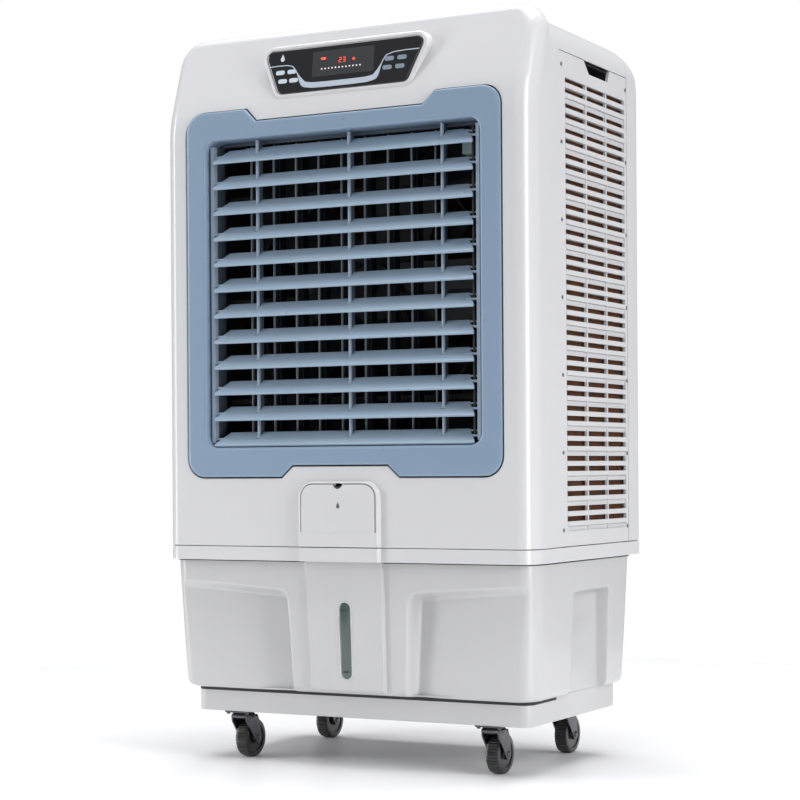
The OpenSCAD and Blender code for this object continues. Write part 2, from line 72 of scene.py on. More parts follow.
PIVOT_Y = YF + 13.5
BLADES, PITCH, CHORD, TILT = 12, 40.86, 31.5, math.radians(43)
BLADE_Z0 = 505.5
RIB_X = (-156.0, 10.5, 172.0)
TANK_TOP, TANK_Z, PLINTH_Z, PLINTH_HW = 341.0, 117.0, 78.0, 298.0
CASTER_X, CASTER_Y, TRAIL, WHEEL_R = 225.0, (-139.0, 119.0), 21.0, 31.0
# plan corners of the cabinet, and the rounding of its edges
CORNER_X, CORNER_Y, REAR_R = 26.0, 38.0, 14.0
MASK_R, MASK_BACK_R, BODY_R, BACK_R = 45.0, 7.0, 58.0, 80.0
# filler flap and the raised strip round it
FLAP_X, FLAP_Z0, FLAP_Z1, FLAP_R = 65.3, 371.5, 424.0, 20.0
STRIP_X, STRIP_R = 72.0, 25.0
# corners of the control pod
POD_LOW, POD_HIGH, POD_R = ((-104.0, 1067.0), (109.0, 1067.0)), ((-123.0, 1113.5), (130.0, 1113.5)), 14.0
# rails that hold the blades, seen from the centre line
RAIL_X, RAIL_Z, RAIL_BACK = 235.5, (510.0, 982.5), (YF + 34.0, YF + 43.0)
DRAIN_AT, SPIGOT_AT, GLAND_AT = (150.0, 145.0), (-200.0, 290.0), (-270.0, 400.0)
SIDE_OPEN_Y, SIDE_OPEN_Z = -103.8, 1100.8
BIG = 900.0


# ---------------------------------------------------------------- outlines
def arc(cx, cy, rx, ry, a0, a1, n=8):
    """Points along an ellipse from angle a0 to a1, in degrees."""
    out = []
    for i in range(n + 1):
        a = math.radians(a0 + (a1 - a0) * i / n)
        out.append((cx + rx * math.cos(a), cy + ry * math.sin(a)))
    return out


def rrect(x0, y0, x1, y1, r, n=8):
    """Rounded rectangle, drawn anticlockwise."""
    return (arc(x1 - r, y0 + r, r, r, -90, 0, n) + arc(x1 - r, y1 - r, r, r, 0, 90, n)
            + arc(x0 + r, y1 - r, r, r, 90, 180, n) + arc(x0 + r, y0 + r, r, r, 180, 270, n))


def plan_ring(w, front, rear, z, frx=CORNER_X, fry=CORNER_Y, rr=REAR_R, o=0.0, n=14):
    """A horizontal ring of the cabinet: elliptical front corners, round rear corners."""
    frx, rr = frx - o, rr - o
    fry = max(0.6, min(fry - o, 0.92 * (rear - rr - front)))
    pts = (arc(w - frx, front + fry, frx, fry, -90, 0, n) + arc(w - rr, rear - rr, rr, rr, 0, 90, n)
           + arc(-w + rr, rear - rr, rr, rr, 90, 180, n) + arc(-w + frx, front + fry, frx, fry, 180, 270, n))
    return [(x, y, z) for x, y in pts]


def bezel_out(o):
    """Outline of the bezel with its notch at the top and its hump at the bottom, inset by o."""
    n = 10
    return (arc(BX - 30, BZ0 + 30, 30 - o, 30 - o, -90, 0, n) + arc(BX - 30, BZ1 - 30, 30 - o, 30 - o, 0, 90, n)
            + [(168 + .41 * o, BZ1 - o), (148 + .41 * o, BZ1 - 20 - o), (-148 - .41 * o, BZ1 - 20 - o),
               (-168 - .41 * o, BZ1 - o)]
            + arc(-BX + 30, BZ1 - 30, 30 - o, 30 - o, 90, 180, n)
            + arc(-BX + 30, BZ0 + 30, 30 - o, 30 - o, 180, 270, n)
            + [(-105 - .39 * o, BZ0 + o), (-85 - .39 * o, BZ0 + 18.2 + o), (85 + .39 * o, BZ0 + 18.2 + o),
               (105 + .39 * o, BZ0 + o)])


def outlet(o):
    """Opening for the blades, grown by o."""
    return rrect(-OX - o, OZ0 - o, OX + o, OZ1 + o, 18 + o)


def pod_shape(o):
    """Outline of the control pod, inset by o."""
    c = POD_R - o
    (low_l, low_r), (high_l, high_r) = POD_LOW, POD_HIGH
    return (arc(*low_l, c, c, 203, 270) + arc(*low_r, c, c, 270, 337) + arc(*high_r, c, c, -23, 90)
            + arc(*high_l, c, c, 90, 203))


def flap_shape(g):
    """Outline of the filler flap, grown by g."""
    x, c = FLAP_X - FLAP_R, FLAP_R + g
    return ([(FLAP_X + g, FLAP_Z0 - g), (FLAP_X + g, FLAP_Z1)] + arc(x, FLAP_Z1, c, c, 0, 90)
            + arc(-x, FLAP_Z1, c, c, 90, 180) + [(-FLAP_X - g, FLAP_Z0 - g)])


def strip_shape(g, z0):
    """Outline of the raised strip on the front, from z0 up, inset by g."""
    x, c = STRIP_X - STRIP_R, STRIP_R - g
    return ([(STRIP_X - g, z0)] + arc(x, FLAP_Z1, c, c, 0, 90) + arc(-x, FLAP_Z1, c, c, 90, 180)
            + [(-STRIP_X + g, z0)])


def rounded(end, top, r, o):
    """(across, height) of an upright wall with a rounded top; end is where the wall stands, r its radius."""
    side = 1 if end > 0 else -1
    return [(end - side * (r - (r - o) * math.cos(a)), top - r + (r - o) * math.sin(a))
            for a in np.linspace(0, math.pi / 2, 21)]


def mask_profiles(o):
    """Front, rear and half width of the front mask by height, inset by o."""
    front = [(YF + o, 0.0), (YF + o, BEND_Z)]
    front += [(BEND_Y - (BEND_R - o) * math.cos(a), BEND_Z + (BEND_R - o) * math.sin(a))
              for a in np.linspace(0, LEAN, 13)[1:]]
    front += [(TOP_Y - (EDGE_R - o) * math.cos(a), H - EDGE_R + (EDGE_R - o) * math.sin(a))
              for a in np.linspace(LEAN, math.pi / 2, 17)]
    c = MASK_BACK_R
    rear = [(MASK_Y - o, 0.0)] + [(MASK_Y - c + (c - o) * math.cos(a), H - c + (c - o) * math.sin(a))
                                  for a in np.linspace(0, math.pi / 2, 7)]
    width = [(HW - o, 0.0)] + rounded(HW, H, MASK_R, o)
    return [np.array(q) for q in (front, rear, width)]


def body_profiles(o):
    """The same for the body behind the mask, which starts inside it."""
    start, half_width = MASK_Y - 4 - 2.7 * o, HW - 0.8
    front = [(start, 0.0), (start, TOP_Z - o)]
    rear = [(YR - o, 0.0)] + rounded(YR, TOP_Z, BACK_R, o)
    width = [(half_width - o, 0.0)] + rounded(half_width, TOP_Z, BODY_R, o)
    return [np.array(q) for q in (front, rear, width)]


def at_height(profile, z):
    """Where a profile stands at height z."""
    return float(np.interp(z, profile[:, 1], profile[:, 0]))


MASK_OUT = mask_profiles(0.0)


def header_y(z):
    return at_height(MASK_OUT[0], z)


# ---------------------------------------------------------------- mesh tools
def raw(name, verts, faces):
    """Mesh object from points in millimetres and faces."""
    mesh = bpy.data.meshes.new(name)
    mesh.from_pydata([(x * MM, y * MM, z * MM) for x, y, z in verts], [], faces)
    mesh.validate()
    obj = bpy.data.objects.new(name, mesh)
    bpy.context.scene.collection.objects.link(obj)
    return obj


def face_out(obj):
    bm = bmesh.new()
    bm.from_mesh(obj.data)
    bmesh.ops.remove_doubles(bm, verts=bm.verts, dist=1e-7)
    bmesh.ops.recalc_face_normals(bm, faces=bm.faces)
    bm.to_mesh(obj.data)
    bm.free()
    return obj


def loft(name, rings, caps=True, loop=False):
    """A skin through rings of equal length. loop joins the last ring to the first."""
    n = len(rings[0])
    verts = [p for r in rings for p in r]
    faces = []
    last = len(rings) if loop else len(rings) - 1
    for i in range(last):
        a, b = i * n, ((i + 1) % len(rings)) * n
        faces += [(a + k, a + (k + 1) % n, b + (k + 1) % n, b + k) for k in range(n)]
    if caps and not loop:
        faces += [tuple(range(n))[::-1], tuple(range((len(rings) - 1) * n, len(rings) * n))]
    return face_out(raw(name, verts, faces))


def stack(name, outlines, axis="y"):
    """A solid from (outline, depth) pairs. Outlines are in the plane across the axis."""
    place = {"y": lambda a, b, d: (a, d, b), "z": lambda a, b, d: (a, b, d),
             "x": lambda a, b, d: (d, a, b)}[axis]
    return loft(name, [[place(a, b, d) for a, b in pts] for pts, d in outlines])


def block(name, lo, hi):
    """Box from its low corner to its high corner."""
    return stack(name, [([(lo[0], lo[1]), (hi[0], lo[1]), (hi[0], hi[1]), (lo[0], hi[1])], z)
                        for z in (lo[2], hi[2])], "z")


def turned(name, profile, axis="x", centre=(0, 0, 0), n=48, groove=None):
    """A body of revolution from (along, radius) pairs, open ends closed on the axis."""
    rings = []
    for along, r in profile:
        ring = []
        for k in range(n):
            a = 2 * math.pi * k / n
            rr = r if groove is None else r - groove(along, k)
            u, v = rr * math.cos(a), rr * math.sin(a)
            p = {"x": (along, u, v), "y": (u, along, v), "z": (u, v, along)}[axis]
            ring.append((p[0] + centre[0], p[1] + centre[1], p[2] + centre[2]))
        rings.append(ring)
    return loft(name, rings)


def join(name, objs):
    verts, faces = [], []
    for o in objs:
        base = len(verts)
        verts += [tuple(c / MM for c in (o.matrix_world @ v.co)) for v in o.data.vertices]
        faces += [tuple(base + i for i in p.vertices) for p in o.data.polygons]
        bpy.data.objects.remove(o)
    return raw(name, verts, faces)


def boolean(obj, tools, how="DIFFERENCE"):
    for tool in tools:
        mod = obj.modifiers.new("cut", "BOOLEAN")
        mod.operation, mod.solver, mod.object = how, "EXACT", tool
        bpy.context.view_layer.update()
        new = bpy.data.meshes.new_from_object(obj.evaluated_get(bpy.context.evaluated_depsgraph_get()))
        obj.modifiers.clear()
        obj.data = new
        bpy.data.objects.remove(tool)
    return obj


def piece(obj, mat, body="cabinet", replaces=(), bevel=0.0, angle=35, weighted=True):
    """Shades, gives a material, and hands the object over to its body."""
    me = obj.data
    me.materials.clear()
    me.materials.append(mat)
    me.polygons.foreach_set("material_index", [0] * len(me.polygons))
    me.polygons.foreach_set("use_smooth", [True] * len(me.polygons))
    if bevel:
        mod = obj.modifiers.new("edge", "BEVEL")
        mod.width, mod.segments, mod.limit_method = bevel * MM, 2, "ANGLE"
        mod.angle_limit, mod.harden_normals = math.radians(angle), False
        bpy.context.view_layer.update()
        new = bpy.data.meshes.new_from_object(obj.evaluated_get(bpy.context.evaluated_depsgraph_get()))
        obj.modifiers.clear()
        obj.data = new
    obj.data.set_sharp_from_angle(angle=math.radians(angle))
    if weighted:
        mod = obj.modifiers.new("normals", "WEIGHTED_NORMAL")
        mod.keep_sharp, mod.weight = True, 90
    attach(obj, body)
    if replaces:
        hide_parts(*replaces)
    return obj


# ---------------------------------------------------------------- materials
def moulded(name, colour, rough=0.38, tint=0.02, grain=900.0, bump=0.05, metallic=0.0, coat=0.0, blotch=7.0,
            spread=0.012):
    """Moulded plastic or coated metal: slow colour drift, uneven gloss and a fine grain."""
    m = bpy.data.materials.new(name)
    m.use_nodes = True
    nt = m.node_tree
    bsdf = nt.nodes["Principled BSDF"]
    co = nt.nodes.new("ShaderNodeTexCoord")

    def noise(scale, detail):
        n = nt.nodes.new("ShaderNodeTexNoise")
        n.inputs["Scale"].default_value, n.inputs["Detail"].default_value = scale, detail
        nt.links.new(co.outputs["Object"], n.inputs["Vector"])
        return n

    drift = noise(blotch, 3.0)
    ramp = nt.nodes.new("ShaderNodeValToRGB")
    lo = [max(0.0, c * (1 - tint)) for c in colour]
    hi = [min(1.0, c * (1 + tint)) for c in colour]
    ramp.color_ramp.elements[0].position, ramp.color_ramp.elements[1].position = 0.3, 0.7
    ramp.color_ramp.elements[0].color, ramp.color_ramp.elements[1].color = (*lo, 1), (*hi, 1)
    nt.links.new(drift.outputs["Fac"], ramp.inputs["Fac"])
    nt.links.new(ramp.outputs["Color"], bsdf.inputs["Base Color"])
    gloss = noise(blotch * 5, 4.0)
    span = nt.nodes.new("ShaderNodeMapRange")
    span.inputs["To Min"].default_value, span.inputs["To Max"].default_value = rough - spread, rough + spread
    nt.links.new(gloss.outputs["Fac"], span.inputs["Value"])
    nt.links.new(span.outputs["Result"], bsdf.inputs["Roughness"])
    fine = noise(grain, 2.0)
    bmp = nt.nodes.new("ShaderNodeBump")
    bmp.inputs["Strength"].default_value, bmp.inputs["Distance"].default_value = bump, 0.0004
    nt.links.new(fine.outputs["Fac"], bmp.inputs["Height"])
    nt.links.new(bmp.outputs["Normal"], bsdf.inputs["Normal"])
    bsdf.inputs["Metallic"].default_value = metallic
    bsdf.inputs["Coat Weight"].default_value = coat
    return m


SHELL = moulded("shell_plastic_look", (0.60, 0.60, 0.615), 0.30, 0.006, coat=0.3)
TANKM = moulded("tank_plastic_look", (0.525, 0.525, 0.53), 0.30, 0.006, coat=0.3)
SLATE = moulded("slate_plastic_look", (0.215, 0.30, 0.405), 0.28, 0.008)
BLADE = moulded("blade_plastic_look", (0.27, 0.36, 0.46), 0.28, 0.02, bump=0.02, spread=0.015)
RIBM = moulded("rib_plastic_painted_highlight", (0.07, 0.09, 0.12), 0.25, 0.02)
# near-black vane plastic, darkened as painted shade for the deep shade behind the louvres
VANE = moulded("vane_plastic_look", (0.012, 0.015, 0.02), 0.4, 0.03)


def painted_front_highlight(m, limit, colour):
    """Painted highlight: a lighter plastic colour for whatever stands in front of a depth."""
    nt = m.node_tree
    sep, edge, mix = (nt.nodes.new("ShaderNode" + k) for k in ("SeparateXYZ", "Math", "Mix"))
    co = next(n for n in nt.nodes if n.type == "TEX_COORD")
    base = nt.nodes["Principled BSDF"].inputs["Base Color"]
    nt.links.new(co.outputs["Object"], sep.inputs["Vector"])
    nt.links.new(sep.outputs["Y"], edge.inputs[0])
    edge.operation = "LESS_THAN"
    edge.inputs[1].default_value = limit
    mix.data_type = "RGBA"
    nt.links.new(edge.outputs[0], mix.inputs["Factor"])
    nt.links.new(base.links[0].from_socket, mix.inputs["A"])
    mix.inputs["B"].default_value = (*colour, 1)
    nt.links.new(mix.outputs["Result"], base)


# painted highlight along the front edges of the rails, ribs and clips
painted_front_highlight(RIBM, -0.1945, (0.29, 0.36, 0.45))
# painted highlight on the front edge of the vanes
painted_front_highlight(VANE, -0.1745, (0.2, 0.23, 0.26))
DARK = moulded("dark_plastic_look", (0.012, 0.012, 0.014), 0.55, 0.15)
INNERM = moulded("inner_plastic_look", (0.55, 0.55, 0.57), 0.45, 0.02)
FANM = moulded("fan_plastic_look", (0.012, 0.012, 0.014), 0.45, 0.1)
MOTORP = moulded("motor_plastic_look", (0.38, 0.47, 0.52), 0.35, 0.03)
MOTORM = moulded("motor_metal_look", (0.05, 0.05, 0.055), 0.4, 0.08, metallic=0.6)
STEELB = moulded("bracket_steel_look", (0.02, 0.02, 0.023), 0.42, 0.1)
GLASS = moulded("panel_gloss_look", (0.006, 0.006, 0.008), 0.10, 0.1, bump=0.0, coat=1.0, spread=0.02)
WINDOW = moulded("window_smoke_look", (0.060, 0.090, 0.082), 0.12, 0.15, bump=0.01, coat=0.6, spread=0.03,
                 blotch=25)
PIPE = moulded("pipe_plastic_look", (0.35, 0.37, 0.39), 0.4, 0.03)
SCREW = moulded("screw_steel_look", (0.20, 0.20, 0.21), 0.35, 0.1, metallic=0.9, blotch=120)
RUBBER = moulded("plug_rubber_look", (0.015, 0.015, 0.017), 0.6, 0.15, bump=0.2)
FORK = moulded("fork_metal_look", (0.11, 0.11, 0.12), 0.26, 0.15, metallic=0.9, blotch=90)
TYRE = moulded("wheel_rubber_look", (0.008, 0.008, 0.009), 0.28, 0.2, bump=0.1, coat=0.3)
TRIM = moulded("trim_silver_look", (0.62, 0.70, 0.80), 0.25, 0.03, metallic=0.4, blotch=40)
DISPLAY = moulded("display_look", (0.035, 0.037, 0.042), 0.25, 0.1, bump=0.0)


KEYS = moulded("key_print_look", (0.55, 0.62, 0.70), 0.35, 0.04, bump=0.02)
KEYS_DIM = moulded("key_dim_look", (0.20, 0.25, 0.31), 0.35, 0.04, bump=0.02)
PRINT = moulded("grey_print_look", (0.10, 0.10, 0.12), 0.4, 0.05, bump=0.0)


def glowing(name, colour, strength):
    """Lit print behind the window."""
    m = moulded(name, colour, 0.4, 0.05, bump=0.0)
    b = m.node_tree.nodes["Principled BSDF"]
    b.inputs["Emission Color"].default_value = (*colour, 1)
    b.inputs["Emission Strength"].default_value = strength
    return m


RED = glowing("digit_red_look", (0.85, 0.09, 0.04), 0.8)
WHITE_LED = glowing("dot_white_look", (0.75, 0.70, 0.66), 0.35)
# the pads' brown, darkened as painted shade for the shade inside the cabinet
PAPER = moulded("pad_paper_painted_shade", (0.10, 0.034, 0.012), 0.85, 0.3, grain=500, bump=0.4, blotch=40, spread=0.08)

NODE_LOOKS = {
    DARK: ["vane_carrier", "fan_shroud", "blade_link", "water_pump", "cable_gland"],
    VANE: ["vane_%d" % (i + 1) for i in range(9)], MOTORM: ["fan_motor"],
    STEELB: ["motor_bracket"], INNERM: ["filler_chute", "float_valve"], PIPE: ["water_pipes"],
    RUBBER: ["drain_plug"], FANM: ["fan_rotor"], SLATE: ["vane_tie_bar"], MOTORP: ["swing_motor"],
}
for look, names in NODE_LOOKS.items():
    for n in names:
        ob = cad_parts[n]
        if not ob.material_slots:
            ob.data.materials.append(look)
        for s in ob.material_slots:
            s.material = look


# ---------------------------------------------------------------- cabinet shells
def rounded_solid(name, profile, z0, o, corners):
    """A solid of plan rings that follow three profiles up to its flat top."""
    front, rear, width = profile
    top = min(front[-1, 1], rear[-1, 1], width[-1, 1])
    zs = sorted({round(float(z), 3) for q in profile for z in q[1:, 1]} | {z0, z0 + 0.8, 700.0})
    zs = [z for z in zs if z0 <= z <= top]
    keep = [z0]
    for z in zs[1:]:
        if z - keep[-1] > 0.12:
            keep.append(z)
    keep[-1] = top
    rings = []
    for z in keep:
        e = 0.8 if z == z0 and o == 0 else 0.0
        rings.append(plan_ring(at_height(width, z) - e, at_height(front, z) + e, at_height(rear, z) - e, z,
                               *corners, o=o))
    return loft(name, rings)


def hollow_cabinet(name):
    """Mask and body in one skin, hollowed out to the wall thickness and open below."""
    mask_corners, body_corners = (CORNER_X, CORNER_Y, 5.0), (4.0, 4.0, REAR_R)
    body = rounded_solid(name, body_profiles(0.0), SEAM_Z, 0.0, body_corners)
    boolean(body, [rounded_solid("m", MASK_OUT, SEAM_Z, 0.0, mask_corners)], "UNION")
    return boolean(body, [rounded_solid("i", mask_profiles(WALL), SEAM_Z - 5, WALL, mask_corners),
                          rounded_solid("j", body_profiles(WALL), SEAM_Z - 5, WALL, body_corners)])


main = hollow_cabinet("cabinet_shell")
strip_tool = stack("strip_tool", [(strip_shape(0, SEAM_Z + 0.4), YF + 1.0), (strip_shape(0, SEAM_Z + 0.4), YF),
                                  (strip_shape(2.4, SEAM_Z + 0.4), YS + 0.6), (strip_shape(3.1, SEAM_Z + 0.4), YS)])
boolean(main, [strip_tool], "UNION")
notch = arc(0, 441.5, 8, 4.5, 0, 345, 23)
filler = rrect(-56, 377, 56, 438, 8)
cutters = [
    block("c1", (-BIG, SPLIT_Y, 0), (BIG, BIG, 2 * BIG)),
    stack("c2", [(bezel_out(-3.2), YF - 6), (bezel_out(-3.2), YF - 0.01), (bezel_out(-2.2), YF + 1.2),
                 (bezel_out(-2.2), YF + 60)]),
    stack("c3", [(filler, YS - 4), (filler, YF + 6)]),
    stack("c4", [(flap_shape(2.0), YS - 3), (flap_shape(2.0), YS - 0.01), (flap_shape(1.3), YS + 1.0),
                 (flap_shape(1.3), YS + 4.2)]),
    block("c5", (300, SIDE_OPEN_Y, 300), (400, BIG, SIDE_OPEN_Z)),
    block("c6", (-400, SIDE_OPEN_Y, 300), (-300, BIG, SIDE_OPEN_Z)),
    stack("c7", [(notch, YS - 2), (notch, YF + 8)]),
]
boolean(main, cutters)
piece(main, SHELL, replaces=("main_casing",), angle=28)

rear = hollow_cabinet("cabinet_rear")
rear_open = lambda o: rrect(-245 - o, 380 - o, 245 + o, 1090 + o, 10 + o)
boolean(rear, [
    block("r1", (-BIG, -BIG, 0), (BIG, SPLIT_Y + 0.9, 2 * BIG)),
    stack("r2", [(rear_open(1.5), YR + 4), (rear_open(1.5), YR), (rear_open(0), YR - 1.5),
                 (rear_open(0), YR - 40)]),
    turned("r3", [(200, 8), (230, 8)], "y", (GLAND_AT[0], 0, GLAND_AT[1]), 32)])
piece(rear, SHELL, replaces=("rear_casing",), angle=28)


# ---------------------------------------------------------------- deck band
def band_ring(z, o, depth=0.0):
    return plan_ring(HW - o, YF + o, YR - o, z, o=depth)


deck = loft("deck_band", [band_ring(BAND_Z, 0.9), band_ring(BAND_Z + 0.9, 0), band_ring(SEAM_Z - 1.9, 0),
                          band_ring(SEAM_Z - 1.0, 0.9), band_ring(SEAM_Z - 0.9, 4.6, 4.6),
                          band_ring(BAND_Z, 4.6, 4.6)], loop=True)
strip_foot = lambda x: [(-x, BAND_Z), (x, BAND_Z), (x, SEAM_Z - 1.0), (-x, SEAM_Z - 1.0)]
strip_low = stack("strip_low", [(strip_foot(STRIP_X), YF + 2), (strip_foot(STRIP_X), YF),
                                (strip_foot(STRIP_X - 3), YS)])
boolean(deck, [strip_low], "UNION")
deck_lip = loft("deck_lip", [plan_ring(HW - o, YF + o, YR - o, z, o=o) for z, o in
                             ((SEAM_Z - 3, 4.0), (SEAM_Z + 6, 4.0), (SEAM_Z + 6, 6.5), (SEAM_Z - 3, 6.5))], loop=True)
boolean(deck_lip, [block("l1", (290, -104.5, 330), (340, 190, 370)),
                   block("l2", (-340, -104.5, 330), (-290, 190, 370))])
piece(deck, SHELL, replaces=("deck_frame",), angle=28)
piece(deck_lip, DARK, angle=28)


# ---------------------------------------------------------------- water tank
def smooth(t):
    """Smooth step from 0 to 1."""
    t = min(1.0, max(0.0, t))
    return t * t * (3 - 2 * t)


def rounded_min(a, b, r):
    """Distance into a corner whose inner edge is rounded."""
    if a < r and b < r:
        return r - math.hypot(r - a, r - b)
    return min(a, b)


def tank_profile(z):
    """Half width, front and rear of the tank at height z: tapered, with a rounded bottom edge."""
    t = max(0.0, (z - 129.0) / (TANK_TOP - 129.0))
    k = 12.0 - math.sqrt(max(0.0, 144.0 - max(0.0, 129.0 - z) ** 2))
    return 314.5 + 7.0 * t - k, -188.4 - 11.6 * t + k, 177.0 + 13.0 * t - k


def tank_point(x, y, z):
    """Presses the front and side recesses into the wall, and lifts the centre strip out of it."""
    ax = abs(x)
    w, f, r = tank_profile(z)
    if y < -100.0:
        wall_x = 103.0 + 9.5 * (z - 90.0) / 189.0
        top_z = 279.0 + 14.0 * (ax - 112.5) / 187.5
        d = rounded_min(ax - wall_x + 7.0, top_z - z, 20.0)
        plane = -166.0 - 26.0 * (ax - 100.0) / 200.0
        gap = plane - y
        if gap > -6.0:
            gap = 0.5 * (gap + math.sqrt(gap * gap + 9.0)) - 0.2
            y += max(0.0, gap) * smooth(d / 15.0)
        flank = 64.0 + 3.0 * (z - TANK_Z) / 224.0
        y -= 6.0 * smooth((flank + 2.6 - ax) / 2.6) * smooth((z - TANK_Z) / 8.0)
    if ax > 285.0 and -75.0 < y < 110.0:
        front_y = -60.0 + 10.0 * (z - 90.0) / 186.0
        d = min(smooth((y - front_y) / 34.0), smooth((92.0 - y) / 3.2)) * smooth((277.0 - z) / 5.0)
        nx = ax - max(0.0, ax - PLINTH_HW) * d
        x = math.copysign(nx, x)
    return x, y, z


def spaced(*runs):
    """Values from start to end by step, one run after another."""
    out = []
    for a, b, step in runs:
        n = max(1, int(round(abs(b - a) / step)))
        out += [a + (b - a) * i / n for i in range(n)]
    return out


front_x = spaced((0, 60, 15), (60, 68.5, 0.7), (68.5, 88, 5), (88, 122, 1.5), (122, 284, 5))
side_ys = spaced((-142, -62, 8), (-62, -14, 1.6), (-14, 84, 7), (84, 94, 0.6), (94, 140, 6))
tank_levels = ([TANK_Z + 12 * (1 - math.cos(a)) for a in np.linspace(0, math.pi / 2, 9)]
               + spaced((133, 262, 8), (262, 268, 1.5), (268, 296, 1.0), (296, 340.6, 5)) + [TANK_TOP - 0.8])


def tank_ring(z):
    """The whole wall of the tank at height z, with more points where the recesses turn."""
    w, f, r = tank_profile(z)
    pts = [(x, f) for x in front_x]
    pts += arc(w - CORNER_X, f + CORNER_Y, CORNER_X, CORNER_Y, -90, 0, 18) + [(w, y) for y in side_ys]
    pts += arc(w - CORNER_X, r - CORNER_X, CORNER_X, CORNER_X, 0, 90, 10) + [(0.0, r)]
    left = [(-x, y) for x, y in pts[1:-1]][::-1]
    return [tank_point(x, y, z) for x, y in pts + left]


rings = [tank_ring(z) for z in tank_levels]
rings.append([(x * 0.997, y * 0.997, TANK_TOP) for x, y, z in tank_ring(TANK_TOP)])
tank = loft("water_tank", rings, caps=False)
n_ring = len(rings[0])
tm = tank.data
faces = [tuple(p.vertices) for p in tm.polygons]
verts = [tuple(c / MM for c in v.co) for v in tm.vertices]
bpy.data.objects.remove(tank)
faces.append(tuple(range(n_ring))[::-1])
tank = face_out(raw("water_tank", verts, faces))
mod = tank.modifiers.new("wall", "SOLIDIFY")
mod.thickness, mod.offset = WALL * MM, -1.0
bpy.context.view_layer.update()
solid = bpy.data.meshes.new_from_object(tank.evaluated_get(bpy.context.evaluated_depsgraph_get()))
tank.modifiers.clear()
tank.data = solid
boolean(tank, [turned("t1", [(160, 9.3), (230, 9.3)], "y", (DRAIN_AT[0], 0, DRAIN_AT[1]), 32),
               turned("t2", [(160, 9.8), (230, 9.8)], "y", (SPIGOT_AT[0], 0, SPIGOT_AT[1]), 32)])
piece(tank, TANKM, replaces=("tank",), angle=50)
boss = turned("drain_boss", [(172, 10), (194, 10), (194, 16), (193, 17), (172, 17)], "y",
              (DRAIN_AT[0], 0, DRAIN_AT[1]), 48)
piece(boss, TANKM)

# plinth under the tank, with its four caster pads
pl = lambda o: rrect(-PLINTH_HW + o, -166 + o, PLINTH_HW - o, 174 - o, 18 - o)
plinth = stack("tank_plinth", [(pl(2.0), PLINTH_Z), (pl(0.6), PLINTH_Z + 0.6), (pl(0), PLINTH_Z + 2),
                               (pl(0), TANK_Z - 0.5), (pl(0.9), TANK_Z - 0.1), (pl(0.9), TANK_Z + 3.0),
                               (pl(3), TANK_Z + 3.1)], "z")
boolean(plinth, [stack("p1", [(pl(3), PLINTH_Z + 4), (pl(3), TANK_Z + 20)], "z")])
piece(plinth, TANKM, replaces=("base_plinth",))


# dark rubber seal under the deck band, dark also as painted shadow under the band's overhang; a dark strip along the
# front edge of the plinth only, as painted shadow of the tank's overhang
SEAL_SHADOW_Z0, SEAL_SHADOW_Z1 = 322.4, BAND_Z + 0.2
seal_shadow_w, seal_shadow_f, seal_shadow_r = tank_profile(SEAL_SHADOW_Z1)
# rubber seal that is also painted shadow, standing in for the shade under the deck band's overhang
seal_and_shadow = loft("tank_seal_and_shadow", [plan_ring(seal_shadow_w + e, seal_shadow_f - e, seal_shadow_r + e, z, CORNER_X, CORNER_Y, CORNER_X)
                          for e, z in ((1.2, SEAL_SHADOW_Z0), (1.8, SEAL_SHADOW_Z0 + 0.5), (1.8, SEAL_SHADOW_Z1), (-2.0, SEAL_SHADOW_Z1),
                                       (-2.0, SEAL_SHADOW_Z0))], loop=True)
piece(seal_and_shadow, RUBBER, angle=50)
# painted shadow: dark strip on the front only, where the tank's overhang shades the plinth
edge = stack("plinth_painted_shadow_strip", [(pl(0.2), TANK_Z - 6), (pl(-0.4), TANK_Z - 5.4), (pl(-0.4), TANK_Z - 0.6),
                             (pl(0.2), TANK_Z - 0.1)], "z")
boolean(edge, [stack("p2", [(pl(2), 0), (pl(2), 400)], "z"), block("p3", (-BIG, -70, 0), (BIG, BIG, 400))])
piece(edge, RUBBER, angle=50)


def stadium(r, z0, z1):
    """Tall slot outline with round ends."""
    return arc(0, z1 - r, r, r, 0, 180, 14) + arc(0, z0 + r, r, r, 180, 360, 14)


def lean_strip(obj):
    """Leans a flat piece, drawn at y = 0 with z up, onto the tank's centre strip."""
    slope = 13.0 / 224.0
    for v in obj.data.vertices:
        v.co.y += (-193.0 - 6.4) * MM - slope * (v.co.z - 0.221)
    return obj


rim = loft("window_rim", [[(x, d, z) for x, z in stadium(r, 201 - 50 - r, 201 + 50 + r)] for r, d in
                          ((12.4, 1.5), (12.4, -0.3), (11.8, -0.9), (10.6, -0.9), (10.1, -0.3), (10.1, 1.5))],
           loop=True)
piece(lean_strip(rim), TANKM, weighted=False)
lens = stack("level_lens", [(stadium(9.9, 141.1, 260.9), 2), (stadium(9.9, 141.1, 260.9), 0.1),
                            (stadium(9.2, 141.8, 260.2), -0.3), (stadium(6.5, 144.5, 257.5), -0.55)])
piece(lean_strip(lens), WINDOW, replaces=("level_window",), weighted=False)
for z, name in ((249.0, "level_mark_high"), (153.0, "level_mark_low")):
    bar = rrect(-5.5, z - 1.2, 5.5, z + 1.2, 1.1, 4)
    bar = stack(name, [(bar, -0.4), (bar, -0.75)])
    piece(lean_strip(bar), DARK)

